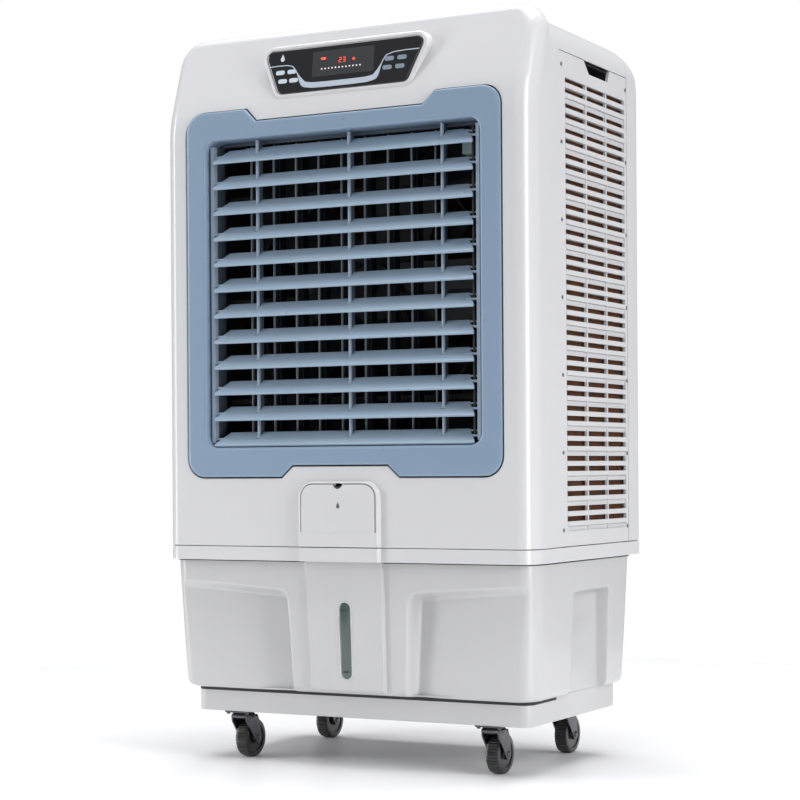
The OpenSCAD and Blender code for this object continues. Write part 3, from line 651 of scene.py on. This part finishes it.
# ---------------------------------------------------------------- outlet
bezel = stack("outlet_bezel", [(bezel_out(1.0), YF + 11.8), (bezel_out(0.0), YF + 11.0), (bezel_out(0.0), YF - 0.4),
                               (bezel_out(0.7), YF - 1.2), (bezel_out(2.4), YF - 2.1), (bezel_out(5.0), YF - 2.5)])
duct = stack("duct", [(outlet(3), YF + 33), (outlet(3), YF + 11)])
boolean(bezel, [duct], "UNION")
boolean(bezel, [stack("b1", [(outlet(6.0), YF - 4), (outlet(5.2), YF - 2.51), (outlet(3.6), YF - 2.1),
                             (outlet(1.8), YF - 0.9), (outlet(0.6), YF + 1.2), (outlet(0), YF + 4),
                             (outlet(0), YF + 60)])])
piece(bezel, SLATE, replaces=("grille_bezel",), angle=24)


def pz(k):
    """Height of the pivot of blade k."""
    return BLADE_Z0 + k * PITCH + CHORD / 2 * math.sin(TILT)


parts = []
for s in (-1, 1):
    x = s * RAIL_X
    parts.append(block("rail", (x - 3, PIVOT_Y - 5, RAIL_Z[0]), (x + 3, RAIL_BACK[1], RAIL_Z[1])))
    parts.append(block("rail2", (x - 2.9, RAIL_BACK[0], 500), (x + 2.9, RAIL_BACK[1] - 0.1, 992)))
for z0, z1 in ((984, 1000), (492, 508)):
    parts.append(block("bar", (-RAIL_X - 3, RAIL_BACK[0], z0), (RAIL_X + 3, RAIL_BACK[1], z1)))
for x in RIB_X:
    parts.append(stack("rib", [([(x - 2.3, YF + 17.0), (x - 1.5, YF + 15.2), (x, YF + 14.6), (x + 1.5, YF + 15.2),
                                 (x + 2.3, YF + 17.0), (x + 2.3, YF + 30), (x - 2.3, YF + 30)], z)
                               for z in (504, 988.5)], "z"))
    parts.append(block("ribt", (x - 2, YF + 15, 986), (x + 2, YF + 40, 988.5)))
    parts.append(block("ribb", (x - 2, YF + 15, 504), (x + 2, YF + 40, 506.5)))
    for k in range(BLADES):
        parts.append(turned("clip", [(x - 2.9, 3.6), (x - 2.4, 4.1), (x + 2.4, 4.1), (x + 2.9, 3.6)], "x",
                            (0, PIVOT_Y + 4.5, pz(k) + 1.5), 20))
ribs = join("pivot_ribs", parts)
piece(ribs, RIBM, replaces=("rib_frame",), bevel=0.35)

# one blade, then twelve copies of its mesh
half = CHORD / 2
section = [(-half + 0.2, -2.5), (-half, -1.6), (-half + 0.2, 0.5), (-half + 1.2, 1.15), (-half + 4, 1.2), (0, 1.25),
           (half - 5, 1.0), (half - 0.5, 0.75), (half, 0.2), (half - 0.4, -0.5), (half - 5, -0.9), (0, -1.1),
           (-half + 4.2, -1.2), (-half + 3, -1.8), (-half + 2.2, -2.5)]


def blade_ring(reach):
    """The blade's section; its ends draw in towards the back."""
    return [(reach * (230.0 - 17.0 * smooth((c + half - 2.0) / (CHORD - 3.0))), c, t) for c, t in section]


blade0 = loft("blade0", [blade_ring(s) for s in (-1, -0.5, 0, 0.5, 1)])
boolean(blade0, [block("n", (x - 3, -1, -8), (x + 3, 40, 8)) for x in RIB_X])
pins = [turned("p", [(-237.8, 1.4), (-237.2, 1.95), (-212, 1.95)], "x", (0, 0, 0), 16),
        turned("p", [(237.8, 1.4), (237.2, 1.95), (212, 1.95)], "x", (0, 0, 0), 16),
        turned("p", [(211, 1.45), (226.3, 1.45)], "x", (0, 12, 0), 12)]
blade0 = join("blade0", [blade0] + pins)
blade0.data.transform(Matrix.Rotation(TILT, 4, "X"))
for k in range(BLADES):
    name = "blade_%02d" % (k + 1)
    ob = bpy.data.objects.new("louvre_%02d" % (k + 1), blade0.data.copy())
    bpy.context.scene.collection.objects.link(ob)
    ob.data.transform(Matrix.Translation((0, PIVOT_Y * MM, pz(k) * MM)))
    piece(ob, BLADE, name, (name,), bevel=0.25, angle=40)
bpy.data.objects.remove(blade0)


# ---------------------------------------------------------------- side and rear grilles
def relief(name, us, vs, level, back, place):
    """A panel of cells. level(i, j) is the front height of a cell, None for a hole; back is its rear."""
    verts, index, faces = [], {}, []

    def vert(i, j, h):
        key = (i, j, round(h, 3))
        if key not in index:
            index[key] = len(verts)
            verts.append(place(us[i], vs[j], h))
        return index[key]

    nu, nv = len(us) - 1, len(vs) - 1
    get = lambda i, j: level(i, j) if 0 <= i < nu and 0 <= j < nv else None
    for i in range(nu):
        for j in range(nv):
            h = get(i, j)
            if h is None:
                continue
            b = back(i, j)
            faces.append((vert(i, j, h), vert(i + 1, j, h), vert(i + 1, j + 1, h), vert(i, j + 1, h)))
            faces.append((vert(i, j + 1, b), vert(i + 1, j + 1, b), vert(i + 1, j, b), vert(i, j, b)))
            for di, dj, p, q in ((-1, 0, (i, j + 1), (i, j)), (1, 0, (i + 1, j), (i + 1, j + 1)),
                                 (0, -1, (i, j), (i + 1, j)), (0, 1, (i + 1, j + 1), (i, j + 1))):
                o = get(i + di, j + dj)
                if o is None:
                    faces.append((vert(*p, h), vert(*p, b), vert(*q, b), vert(*q, h)))
                else:
                    ob = back(i + di, j + dj)
                    if o < h - 1e-6:
                        faces.append((vert(*p, h), vert(*p, o), vert(*q, o), vert(*q, h)))
                    if ob > b + 1e-6:
                        faces.append((vert(*p, ob), vert(*p, b), vert(*q, b), vert(*q, ob)))
    return raw(name, verts, faces)


SLOT_TOP, SLOT_PITCH, PAIRS = 1062.0, 38.43, 18
ys = [-103.0, -80.0, 0.0, 5.0, 81.0, 85.0, 159.0, SPLIT_Y]
steps = [0.0, 8.0, 15.5, 23.5, 30.6, 31.6]
zs = [1100.0] + [SLOT_TOP - k * SLOT_PITCH - d for k in range(PAIRS) for d in steps]
zs += [SLOT_TOP - PAIRS * SLOT_PITCH, SEAM_Z + 0.3]
zs = zs[::-1]
rows = len(zs) - 1


def row_kind(j):
    """frame, slot, rib, lip, line or slat, counted from the top."""
    t = rows - 1 - j
    if t == 0 or t == rows - 1:
        return "frame"
    return ("slot", "rib", "slot", "lip", "line", "slat")[(t - 1) % 6]


def grille_level(i, j):
    """How far out a cell of the side panel stands."""
    kind = row_kind(j)
    if kind == "frame" or i in (0, 6):
        return 323.4
    if i in (2, 4):
        return 323.0 if kind in ("slot", "slat", "line") else 324.6
    return {"slot": None, "rib": 324.8, "lip": 324.6, "line": 319.8, "slat": 321.2}[kind]


def grille_back(i, j):
    return 316.6 if row_kind(j) in ("rib", "lip") and i not in (0, 6) else 318.6


for s, side in ((1, "right"), (-1, "left")):
    panel = face_out(relief("side_louvres_" + side, ys, zs, grille_level, grille_back,
                            lambda u, v, h, s=s: (s * h, u, v)))
    grip = [(-8, 1101), (14, 1081), (90, 1081), (98, 1101)]
    grip = stack("grip", [(grip, s * 300), (grip, s * 340)], "x")
    boolean(panel, [grip])
    piece(panel, SHELL, replaces=("side_grille_" + side,), bevel=0.55, angle=40)
    in_x, out_x = sorted((s * 288, s * 318.4))
    pocket = block("grip_pocket_" + side, (in_x, 6, 1074), (out_x, 98, 1099.5))
    in_x, out_x = sorted((s * 291, s * 330))
    boolean(pocket, [block("k", (in_x, 9, 1077), (out_x, 95, 1097))])
    piece(pocket, DARK, bevel=0.6)

rear_us = [-244.5, -232.0]
for c in range(5):
    rear_us += [-232.0 + c * 94 + 88, -232.0 + (c + 1) * 94] if c < 4 else [-232.0 + c * 94 + 88]
rear_us += [244.5]
rear_vs = [380.5]
for k in range(17):
    rear_vs += [400 + k * SLOT_PITCH + d for d in (0, 8, 15.5, 23.5)]
rear_vs += [1089.5]


def rear_level(i, j):
    """How far back a cell of the rear panel stands."""
    slot_col = 1 <= i <= 9 and i % 2 == 1
    if slot_col and 1 <= j <= 68 and (j - 1) % 4 in (0, 2):
        return None
    if slot_col and 1 <= j <= 67:
        return 221.0 if (j - 1) % 4 == 1 else 219.6
    return 220.4


rear_panel = face_out(relief("rear_louvres", rear_us, rear_vs, rear_level, lambda i, j: 217.6,
                             lambda u, v, h: (u, h, v)))
piece(rear_panel, SHELL, replaces=("rear_grille",), bevel=0.45, angle=40)


# ---------------------------------------------------------------- cooling pads
def pad(name, place, u0, u1, v0, v1, depth, out):
    """Fluted cellulose: two crossing sets of waves cut the open face into cells."""
    step = 3.6
    nu, nv = int((u1 - u0) / step), int((v1 - v0) / step)
    front, back = [], []
    for i in range(nu + 1):
        for j in range(nv + 1):
            u, v = u0 + (u1 - u0) * i / nu, v0 + (v1 - v0) * j / nv
            a = math.sin((u * 0.72 + v * 0.5) * 0.62)
            b = math.sin((-u * 0.55 + v * 0.8) * 0.62)
            edge = min(i, nu - i, j, nv - j) > 0
            dip = 4.5 * (1 - abs(a) * 0.6 - abs(b) * 0.4) if edge else 0.6
            front.append(place(u, v, out - (0.5 + dip) * (1 if depth > 0 else -1)))
            back.append(place(u, v, out - depth))
    verts, faces = front + back, []
    m = len(front)
    at = lambda i, j, base=0: base + i * (nv + 1) + j
    for i in range(nu):
        for j in range(nv):
            faces.append((at(i, j), at(i + 1, j), at(i + 1, j + 1), at(i, j + 1)))
            faces.append((at(i, j + 1, m), at(i + 1, j + 1, m), at(i + 1, j, m), at(i, j, m)))
    for i in range(nu):
        for j in (0, nv):
            faces.append((at(i, j), at(i + 1, j), at(i + 1, j, m), at(i, j, m)))
    for j in range(nv):
        for i in (0, nu):
            faces.append((at(i, j), at(i, j + 1), at(i, j + 1, m), at(i, j, m)))
    return face_out(raw(name, verts, faces))


pads = [pad("pad_right", lambda u, v, h: (h, u, v), -97, 160, 350, 1070, 29.5, 315.5),
        pad("pad_left", lambda u, v, h: (-h, u, v), -97, 160, 350, 1070, 29.5, 315.5),
        pad("pad_rear", lambda u, v, h: (u, h, v), -242, 242, 350, 1092, 29, 213.5)]
for i, p in enumerate(pads):
    piece(p, PAPER, replaces=("cooling_pads",) if i == 0 else (), angle=60, weighted=False)

# ---------------------------------------------------------------- screws
heads = []
for s in (-1, 1):
    for y in (-95, 163):
        for k in range(7):
            c = (0, y, 372 + k * 118)
            heads.append(turned("h", [(s * 323.2, 3.1), (s * 324.0, 3.1), (s * 324.5, 2.7), (s * 324.75, 1.6),
                                      (s * 324.4, 1.2), (s * 324.1, 0.8)], "x", c, 16))
piece(join("panel_screw_heads", heads), SCREW, replaces=("panel_screws",), angle=50)

# ---------------------------------------------------------------- control pod
POD_P = Vector((0, -204.0, 1062))
POD_A = math.radians(7)
POD_U, POD_N = Vector((0, math.sin(POD_A), math.cos(POD_A))), Vector((0, -math.cos(POD_A), math.sin(POD_A)))


def pod_at(x, z, n):
    """A point at height z on the front plane of the pod, n in front of it."""
    s = (z - POD_P.z) / math.cos(POD_A)
    p = POD_P + POD_U * s + POD_N * n
    return (x, p.y, p.z)


def pod_ring(o, n):
    """The pod's outline, inset by o, at n in front of its plane."""
    return [pod_at(x, z, n) for x, z in pod_shape(o)]


def header_ring(o):
    """The pod's outline laid just under the skin of the header."""
    return [(x, header_y(z) + 2.0, z) for x, z in pod_shape(o)]


rim = [pod_ring(o, n) for o, n in ((-5.5, -4.2), (-5.2, -2.6), (-4.4, -1.1), (-3.2, -0.3), (-1.8, 0.0), (0.8, -0.1),
                                   (1.6, -0.6), (2.0, -1.4), (2.0, -6.0))]
pod = loft("control_pod_rim", [header_ring(-5.5)] + rim + [header_ring(2.0)], loop=True)
piece(pod, SHELL, replaces=("control_pod",), angle=50)
glass = loft("control_window", [pod_ring(o, n) for o, n in ((2.1, -4.0), (2.1, -1.0), (2.6, -0.2), (3.8, 0.35),
                                                            (5.4, 0.55))])
piece(glass, GLASS, replaces=("control_glass",), angle=50)


def decal(name, outlines, mat, lift):
    """Thin raised shapes on the window, up to lift in front of the pod's plane."""
    solids = [loft("d", [[pod_at(x, z, n) for x, z in pts] for n in (0.3, lift)]) for pts in outlines]
    piece(join(name, solids), mat, angle=30)


def ribbon(centre, width):
    """A flat band along a line of (x, z) points; width is given for each point."""
    up, down = [], []
    for i, (x, z) in enumerate(centre):
        a, b = centre[max(0, i - 1)], centre[min(len(centre) - 1, i + 1)]
        t = Vector((b[0] - a[0], b[1] - a[1])).normalized()
        w = width(i / (len(centre) - 1)) / 2
        up.append((x - t.y * w, z + t.x * w))
        down.append((x + t.y * w, z - t.x * w))
    return up + down[::-1]


def s_curve(x0, z0, x1, z1):
    """Smooth line between two heights."""
    return [(x0 + (x1 - x0) * i / 12, z0 + (z1 - z0) * smooth(i / 12)) for i in range(13)]


trim_line = ([(-131.0, 1100.0), (-112.0, 1100.5), (-96.0, 1100.0)] + s_curve(-90, 1098.5, -62, 1066.5)
             + [(-50, 1064.5), (-20, 1064.0), (20, 1064.0), (46, 1064.5)] + s_curve(58, 1066.5, 82, 1100.0)
             + [(92.0, 1103.0), (112.0, 1104.0), (136.0, 1104.0)])
decal("trim_band", [ribbon(trim_line, lambda t: 1.5 + 7.2 * smooth(1.75 - abs(t - 0.5) * 6.2))], TRIM, 0.9)
decal("display_screen", [rrect(-51, 1077, 58, 1117, 2, 4)], DISPLAY, 0.7)

SEGMENTS = {"a": (0, 5, 3, 5.7), "g": (0, 2.3, 3, 3.0), "d": (0, -0.4, 3, 0.3), "f": (-0.4, 3, 0.3, 5),
            "b": (2.7, 3, 3.4, 5), "e": (-0.4, 0.3, 0.3, 2.3), "c": (2.7, 0.3, 3.4, 2.3)}


def digit(x, z, which):
    """A digit of the display from the named segments."""
    k = 1.3
    return [[(x + a * k, z + b * k), (x + c * k, z + b * k), (x + c * k, z + d * k), (x + a * k, z + d * k)]
            for a, b, c, d in (SEGMENTS[w] for w in which)]


red_marks = [rrect(-36, 1103, -27, 1106.5, 1, 3), arc(22.5, 1099.5, 2.2, 2.2, 0, 330, 11)]
decal("lit_digits", digit(-3.5, 1096.5, "abged") + digit(3.5, 1096.5, "abgcd") + red_marks, RED, 0.95)
decal("status_dots", [arc(-34 + 6.2 * i, 1088.5, 1.3, 1.3, 0, 315, 7) for i in range(12)], WHITE_LED, 0.95)
for name, look, places in (("left_keys", KEYS, ((-117, 1086), (-96, 1086), (-112, 1072), (-92, 1072))),
                           ("right_keys", KEYS_DIM, ((77, 1090), (99, 1090), (74, 1076.5), (96, 1076.5)))):
    decal(name, [rrect(x, z, x + 16, z + 6.8, 3.0, 4) for x, z in places], look, 0.85)


def droplet(cx, cz, r):
    pts = arc(cx, cz, r, r, -210, 30, 14)
    return pts + [(cx, cz + 2.3 * r)]


decal("drop_icon", [droplet(-106, 1110.5, 3.6)], KEYS, 0.85)

# ---------------------------------------------------------------- filler flap
flap = stack("filler_lid", [(flap_shape(-0.4), YS + 3.2), (flap_shape(-0.2), YS + 1.4), (flap_shape(-0.6), YS + 0.5),
                            (flap_shape(-1.6), YS + 0.05)])
finger = arc(0, 446, 9.5, 9, 0, 352, 44)
boolean(flap, [stack("f1", [(finger, YS - 2), (finger, YS + 8)])])
lug = turned("lug", [(-64.8, 2.9), (-64.4, 3.3), (64.4, 3.3), (64.8, 2.9)], "x", (0, -218, FLAP_Z0), 32)
boolean(flap, [lug], "UNION")
piece(flap, SHELL, "filler_flap", ("filler_flap",), angle=30)

lid_drop = droplet(1.0, 410, 3.0)
lid_drop = stack("lid_drop_icon", [(lid_drop, YS + 0.4), (lid_drop, YS - 0.12)])
piece(lid_drop, PRINT, "filler_flap", angle=30)

# ---------------------------------------------------------------- casters
plates = []
for x in (-CASTER_X, CASTER_X):
    for y in CASTER_Y:
        sq = lambda o: rrect(x - 23 + o, y - 23 + o, x + 23 - o, y + 23 - o, 4)
        plates.append(stack("pl", [(sq(0.6), 75), (sq(0), 75.6), (sq(0), 78)], "z"))
        plates.append(turned("dish", [(64.5, 8), (64.8, 15), (66.0, 18.5), (70.0, 19.5), (73.0, 17.0), (75.2, 16.0)],
                             "z", (x, y, 0), 40))
        for a in (-17.5, 17.5):
            for b in (-17.5, 17.5):
                plates.append(turned("bolt", [(72.2, 2.6), (72.8, 3.4), (75.2, 3.4)], "z", (x + a, y + b, 0), 6))
piece(join("caster_mounts", plates), FORK, replaces=("caster_plates",), angle=35)

for tag, x, y in (("fl", -CASTER_X, CASTER_Y[0]), ("fr", CASTER_X, CASTER_Y[0]),
                  ("rl", -CASTER_X, CASTER_Y[1]), ("rr", CASTER_X, CASTER_Y[1])):
    yc = y + TRAIL
    legs = []
    for s in (-1, 1):
        out = ([(y - 14, 69.0), (y - 13, 60)] + arc(yc, WHEEL_R, 9, 9, 205, 375, 14)
               + [(y + 25, 58), (y + 19, 69.0)])
        legs.append(stack("leg", [(out, x + s * 12.3), (out, x + s * 15.0)], "x"))
        rivet = [(x + s * a, r) for a, r in ((14.9, 5.2), (16.0, 5.0), (16.8, 3.4), (17.0, 1.2))]
        legs.append(turned("rivet", rivet, "x", (0, yc, WHEEL_R), 24))
    legs.append(block("yoke", (x - 15, y - 14, 66.2), (x + 15, y + 19, 69.6)))
    boolean(legs[-1], [turned("kp", [(50, 4.6), (80, 4.6)], "z", (x, y, 0), 24)])
    fork = join("caster_fork_" + tag, legs)
    piece(fork, FORK, "fork_" + tag, ("fork_" + tag,), bevel=0.4)

    prof = [(-10.9, 8.9), (-10.8, 22.5), (-10.75, 27.6), (-10.0, 29.6), (-8.0, 30.7), (-5.0, 31.0), (5.0, 31.0),
            (8.0, 30.7), (10.0, 29.6), (10.75, 27.6), (10.8, 22.5), (10.9, 8.9)]
    groove = lambda along, k, x=x: 0.9 if (k % 4 == 3 and abs(along - x) < 8.5) else 0.0
    wheel = turned("caster_tyre_" + tag, [(x + a, r) for a, r in prof], "x", (0, yc, WHEEL_R), 160, groove)
    boolean(wheel, [turned("w1", [(x + s * 9.3, 22.0), (x + s * 14, 22.4)], "x", (0, yc, WHEEL_R), 48)
                    for s in (-1, 1)])
    hub = turned("hub", [(x - 11.8, 5.5), (x - 11.4, 8.6), (x - 9.0, 9.4), (x - 9.0, 20.6), (x - 8.0, 22.4),
                         (x + 8.0, 22.4), (x + 9.0, 20.6), (x + 9.0, 9.4), (x + 11.4, 8.6), (x + 11.8, 5.5)], "x",
                 (0, yc, WHEEL_R), 48)
    boolean(wheel, [hub], "UNION")
    piece(wheel, TYRE, "wheel_" + tag, ("wheel_" + tag,), angle=35)

# ---------------------------------------------------------------- floor, light, camera
floor_look = moulded("floor_look", (0.96, 0.96, 0.965), 0.35, 0.004, bump=0.0)
FLOOR_R = 1750
FLOOR_SIDES = 60
floor_ring = arc(0, 0, FLOOR_R, FLOOR_R, 0, 354, FLOOR_SIDES - 1)
floor = raw("studio_floor", [(x, y, 0.0) for x, y in floor_ring], [tuple(range(FLOOR_SIDES))])
floor.data.materials.append(floor_look)

world = bpy.data.worlds.new("studio")
bpy.context.scene.world = world
world.use_nodes = True
wn = world.node_tree
bg = wn.nodes["Background"]
bg.inputs["Color"].default_value = (0.95, 0.96, 1.0, 1)
bg.inputs["Strength"].default_value = 0.27
white = wn.nodes.new("ShaderNodeBackground")
white.inputs["Color"].default_value = (1, 1, 1, 1)
white.inputs["Strength"].default_value = 1.0
lp, mix = wn.nodes.new("ShaderNodeLightPath"), wn.nodes.new("ShaderNodeMixShader")
wn.links.new(lp.outputs["Is Camera Ray"], mix.inputs["Fac"])
wn.links.new(bg.outputs["Background"], mix.inputs[1])
wn.links.new(white.outputs["Background"], mix.inputs[2])
wn.links.new(mix.outputs["Shader"], wn.nodes["World Output"].inputs["Surface"])


def softbox(name, where, to, size, power):
    """Rectangular lamp aimed at a point."""
    light = bpy.data.lights.new(name, "AREA")
    light.shape, light.size, light.size_y, light.energy = "RECTANGLE", size[0], size[1], power
    ob = bpy.data.objects.new(name, light)
    bpy.context.scene.collection.objects.link(ob)
    ob.location = where
    ob.rotation_euler = (Vector(to) - Vector(where)).to_track_quat("-Z", "Y").to_euler()


softbox("top", (0, 0.35, 4.2), (0, 0.35, 0), (4.0, 3.8), 235)
softbox("left", (-2.6, -1.7, 1.2), (0, -0.1, 0.7), (0.8, 2.8), 52)
softbox("right", (2.9, -0.9, 1.2), (0.2, 0, 0.7), (0.9, 2.8), 60)
softbox("front", (0.2, -4.2, 2.4), (0, 0, 0.6), (3.0, 1.6), 13)

CAM_AT = Vector((1.5865, -2.984, 0.4707))
CAM_LOOK = Vector((-0.4714, 0.8819, -0.0039)).normalized()
CAM_ROLL = -0.0066
right_v = CAM_LOOK.cross(Vector((0, 0, 1))).normalized()
up_v = right_v.cross(CAM_LOOK)
basis = Matrix((right_v, up_v, -CAM_LOOK)).transposed().to_4x4()
cam_data = bpy.data.cameras.new("camera")
cam_data.lens, cam_data.sensor_width, cam_data.shift_y = 93.23, 36.0, 0.0933
cam_data.clip_end = 200
cam = bpy.data.objects.new("camera", cam_data)
bpy.context.scene.collection.objects.link(cam)
cam.matrix_world = Matrix.Translation(CAM_AT) @ basis @ Matrix.Rotation(CAM_ROLL, 4, "Z")
bpy.context.scene.camera = cam
bpy.context.scene.view_settings.view_transform = "Standard"
